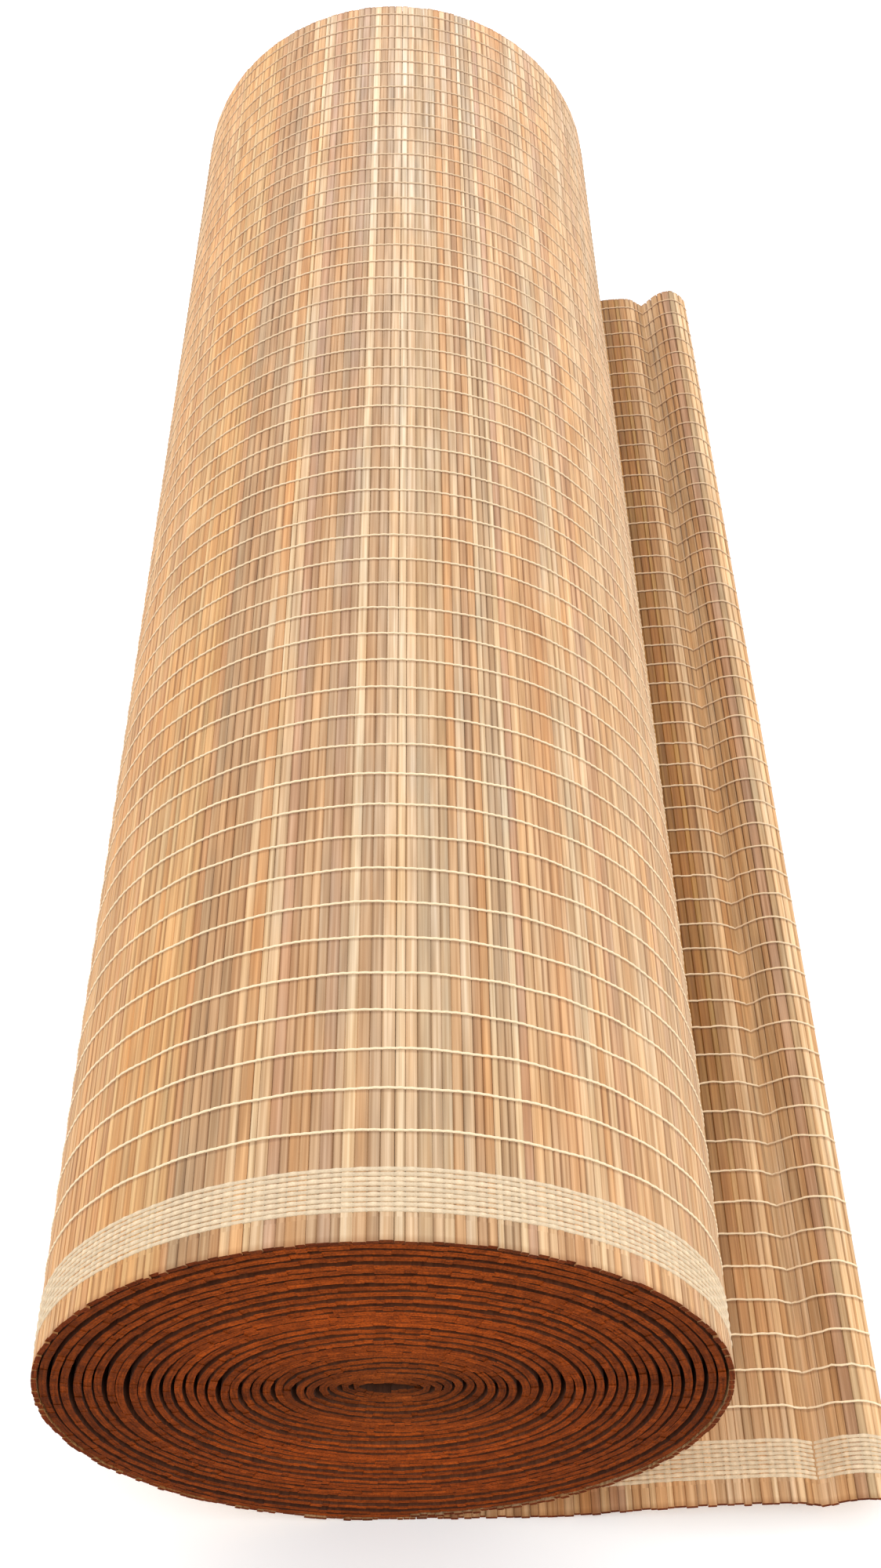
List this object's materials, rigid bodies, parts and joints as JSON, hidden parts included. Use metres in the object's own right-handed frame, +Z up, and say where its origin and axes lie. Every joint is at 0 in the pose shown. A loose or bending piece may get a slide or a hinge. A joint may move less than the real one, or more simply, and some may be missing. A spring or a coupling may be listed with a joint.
{
  "type": "roll of bamboo matting",
  "caption": "Roll of woven bamboo slat matting lying on its side, with a dense thread band near one edge and its loose end on the floor.",
  "frame": {"origin": "on the floor, at the middle of the roll's flat spot", "axes": "+Y along the slats and the roll's axis, away from the spiral end in front; +X towards the loose end; +Z up"},
  "size_m": [0.3493, 0.906, 0.248],
  "materials": {
    "bamboo": "split bamboo slats, smooth, slightly glossy, light straw to reddish brown",
    "thread": "matt cream twisted thread"
  },
  "bodies": {
    "root": {"roll": "bamboo", "loose_end": "bamboo"}
  },
  "joints": []
}
